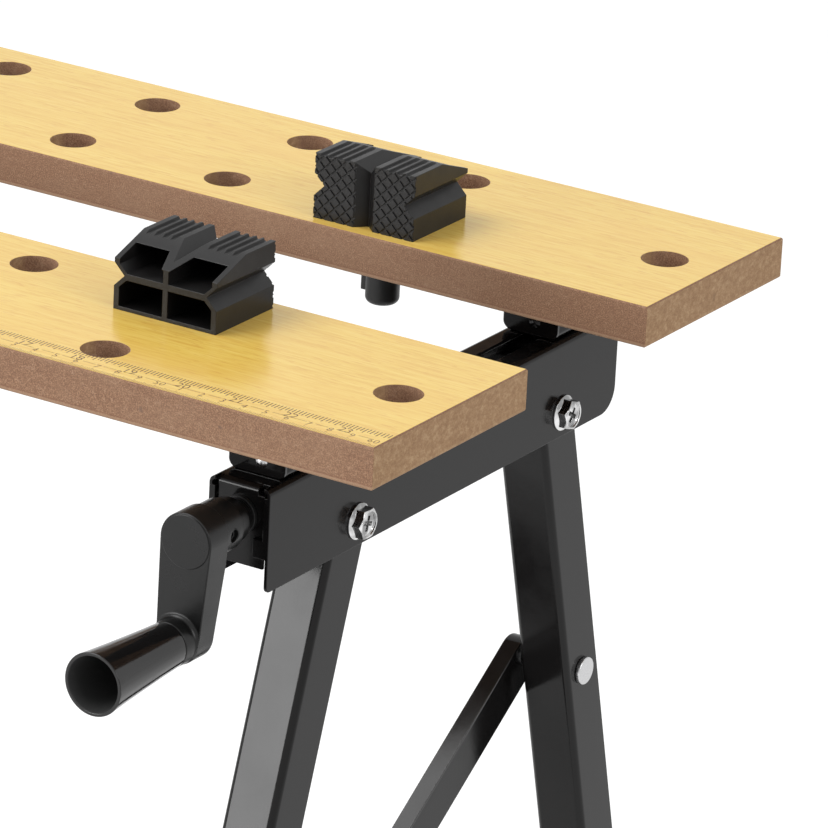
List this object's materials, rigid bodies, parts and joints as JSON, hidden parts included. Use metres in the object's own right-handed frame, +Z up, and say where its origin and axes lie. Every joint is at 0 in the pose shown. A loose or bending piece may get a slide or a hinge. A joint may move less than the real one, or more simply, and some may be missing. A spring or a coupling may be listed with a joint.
{
  "type": "folding workbench",
  "caption": "Folding workbench with a two-jaw vise top driven by twin cranks, swivelling bench pegs and splayed folding legs with stays.",
  "frame": {"origin": "on the floor, under the middle of the bounding box", "axes": "+X to the right, +Y to the back, +Z up"},
  "size_m": [0.61, 0.606, 0.814],
  "materials": {
    "board": "printed laminate over fibreboard",
    "black_steel": "gloss black powder coat",
    "matt_plastic": "matt black moulded plastic",
    "knob_plastic": "gloss black plastic",
    "bright_bolts": "bright plated",
    "zinc_steel": "zinc plated",
    "nylon": "black nylon"
  },
  "bodies": {
    "bench_frame": {"front_jaw": "board", "right_beam": "black_steel", "left_beam": "black_steel", "right_front_bracket": "black_steel", "left_front_bracket": "black_steel", "front_jaw_screws": "zinc_steel", "front_bracket_bolts": "zinc_steel", "front_bracket_nuts": "zinc_steel", "front_bracket_rivets": "zinc_steel", "thrust_washers": "nylon", "leg_bolts": "bright_bolts", "leg_nuts": "zinc_steel", "leg_washers": "nylon"},
    "rear_carriage": {"rear_jaw": "board", "right_rear_bracket": "black_steel", "left_rear_bracket": "black_steel", "rear_jaw_screws": "zinc_steel", "rear_bracket_rivets": "zinc_steel", "nut_screws": "zinc_steel", "right_screw_nut": "black_steel", "left_screw_nut": "black_steel"},
    "right_crank": {"right_vise_screw": "zinc_steel", "right_thrust_collar": "zinc_steel", "right_crank_arm": "matt_plastic", "right_set_screw": "zinc_steel", "right_knob_pin": "zinc_steel"},
    "left_crank": {"left_vise_screw": "zinc_steel", "left_thrust_collar": "zinc_steel", "left_crank_arm": "matt_plastic", "left_set_screw": "zinc_steel", "left_knob_pin": "zinc_steel"},
    "right_knob": {"right_crank_knob": "knob_plastic"},
    "left_knob": {"left_crank_knob": "knob_plastic"},
    "front_leg_frame": {"right_front_leg": "black_steel", "left_front_leg": "black_steel", "front_leg_bushes": "zinc_steel", "front_step": "black_steel", "front_step_rivets": "zinc_steel", "right_front_foot": "matt_plastic", "left_front_foot": "matt_plastic", "lower_stay_rivets": "zinc_steel"},
    "rear_leg_frame": {"right_rear_leg": "black_steel", "left_rear_leg": "black_steel", "rear_leg_bushes": "zinc_steel", "rear_cross_rail": "black_steel", "rear_rail_rivets": "zinc_steel", "right_rear_foot": "matt_plastic", "left_rear_foot": "matt_plastic", "upper_stay_rivets": "zinc_steel", "upper_stay_spacers": "zinc_steel"},
    "right_upper_stay": {"right_upper_stay": "black_steel", "right_hinge_rivet": "zinc_steel"},
    "left_upper_stay": {"left_upper_stay": "black_steel", "left_hinge_rivet": "zinc_steel"},
    "right_lower_stay": {"right_lower_stay": "black_steel"},
    "left_lower_stay": {"left_lower_stay": "black_steel"},
    "front_right_peg": {"front_right_peg": "matt_plastic"},
    "front_left_peg": {"front_left_peg": "matt_plastic"},
    "rear_right_peg": {"rear_right_peg": "matt_plastic"},
    "rear_left_peg": {"rear_left_peg": "matt_plastic"}
  },
  "joints": [
    {"name": "rear_jaw_slide", "type": "slide", "parent": "bench_frame", "child": "rear_carriage", "axis": [0, -1, 0], "range_m": [-0.008, 0.094]},
    {"name": "right_crank_turn", "type": "hinge", "parent": "bench_frame", "child": "right_crank", "pos_m": [0.232, -0.1664, 0.7333], "axis": [0, 1, 0], "range_deg": [-721, 8461]},
    {"name": "left_crank_turn", "type": "hinge", "parent": "bench_frame", "child": "left_crank", "pos_m": [-0.232, -0.1664, 0.7333], "axis": [0, 1, 0], "range_deg": [-721, 8461]},
    {"name": "right_knob_spin", "type": "hinge", "parent": "right_crank", "child": "right_knob", "pos_m": [0.2298, -0.1864, 0.69136], "axis": [0, 1, 0], "continuous": true},
    {"name": "left_knob_spin", "type": "hinge", "parent": "left_crank", "child": "left_knob", "pos_m": [-0.2298, -0.1864, 0.69136], "axis": [0, 1, 0], "continuous": true},
    {"name": "rear_leg_fold", "type": "hinge", "parent": "bench_frame", "child": "rear_leg_frame", "pos_m": [0, 0.097, 0.714], "axis": [1, 0, 0], "range_deg": [0, 65]},
    {"name": "front_leg_fold", "type": "hinge", "parent": "bench_frame", "child": "front_leg_frame", "pos_m": [0, -0.063, 0.714], "axis": [1, 0, 0], "range_deg": [0, 97.5]},
    {"name": "right_upper_stay_turn", "type": "hinge", "parent": "rear_leg_frame", "child": "right_upper_stay", "pos_m": [0.21405, 0.13194, 0.5836], "axis": [1, 0, 0], "range_deg": [0, 63.1]},
    {"name": "right_lower_stay_turn", "type": "hinge", "parent": "front_leg_frame", "child": "right_lower_stay", "pos_m": [0.2169, -0.16942, 0.37648], "axis": [1, 0, 0], "range_deg": [-142.1, 0]},
    {"name": "left_upper_stay_turn", "type": "hinge", "parent": "rear_leg_frame", "child": "left_upper_stay", "pos_m": [-0.21405, 0.13194, 0.5836], "axis": [1, 0, 0], "range_deg": [0, 63.1]},
    {"name": "left_lower_stay_turn", "type": "hinge", "parent": "front_leg_frame", "child": "left_lower_stay", "pos_m": [-0.2169, -0.16942, 0.37648], "axis": [1, 0, 0], "range_deg": [-142.1, 0]},
    {"name": "front_right_peg_swivel", "type": "hinge", "parent": "bench_frame", "child": "front_right_peg", "pos_m": [0.162, -0.0585, 0.776], "axis": [0, 0, 1], "range_deg": [-180, 180]},
    {"name": "front_left_peg_swivel", "type": "hinge", "parent": "bench_frame", "child": "front_left_peg", "pos_m": [-0.162, -0.0585, 0.776], "axis": [0, 0, 1], "range_deg": [-180, 180]},
    {"name": "rear_right_peg_swivel", "type": "hinge", "parent": "rear_carriage", "child": "rear_right_peg", "pos_m": [0.162, 0.0845, 0.776], "axis": [0, 0, 1], "range_deg": [-180, 180]},
    {"name": "rear_left_peg_swivel", "type": "hinge", "parent": "rear_carriage", "child": "rear_left_peg", "pos_m": [-0.162, 0.0845, 0.776], "axis": [0, 0, 1], "range_deg": [-180, 180]}
  ],
  "couplings": [
    {"joint": "right_crank_turn", "follows": "rear_jaw_slide", "rad_per_m": 1570.8},
    {"joint": "left_crank_turn", "follows": "rear_jaw_slide", "rad_per_m": 1570.8},
    {"joint": "front_leg_fold", "follows": "rear_leg_fold", "ratio": 1.5},
    {"joint": "right_upper_stay_turn", "follows": "rear_leg_fold", "ratio": 0.97},
    {"joint": "left_upper_stay_turn", "follows": "rear_leg_fold", "ratio": 0.97},
    {"joint": "right_lower_stay_turn", "follows": "rear_leg_fold", "ratio": -2.1846},
    {"joint": "left_lower_stay_turn", "follows": "rear_leg_fold", "ratio": -2.1846}
  ]
}
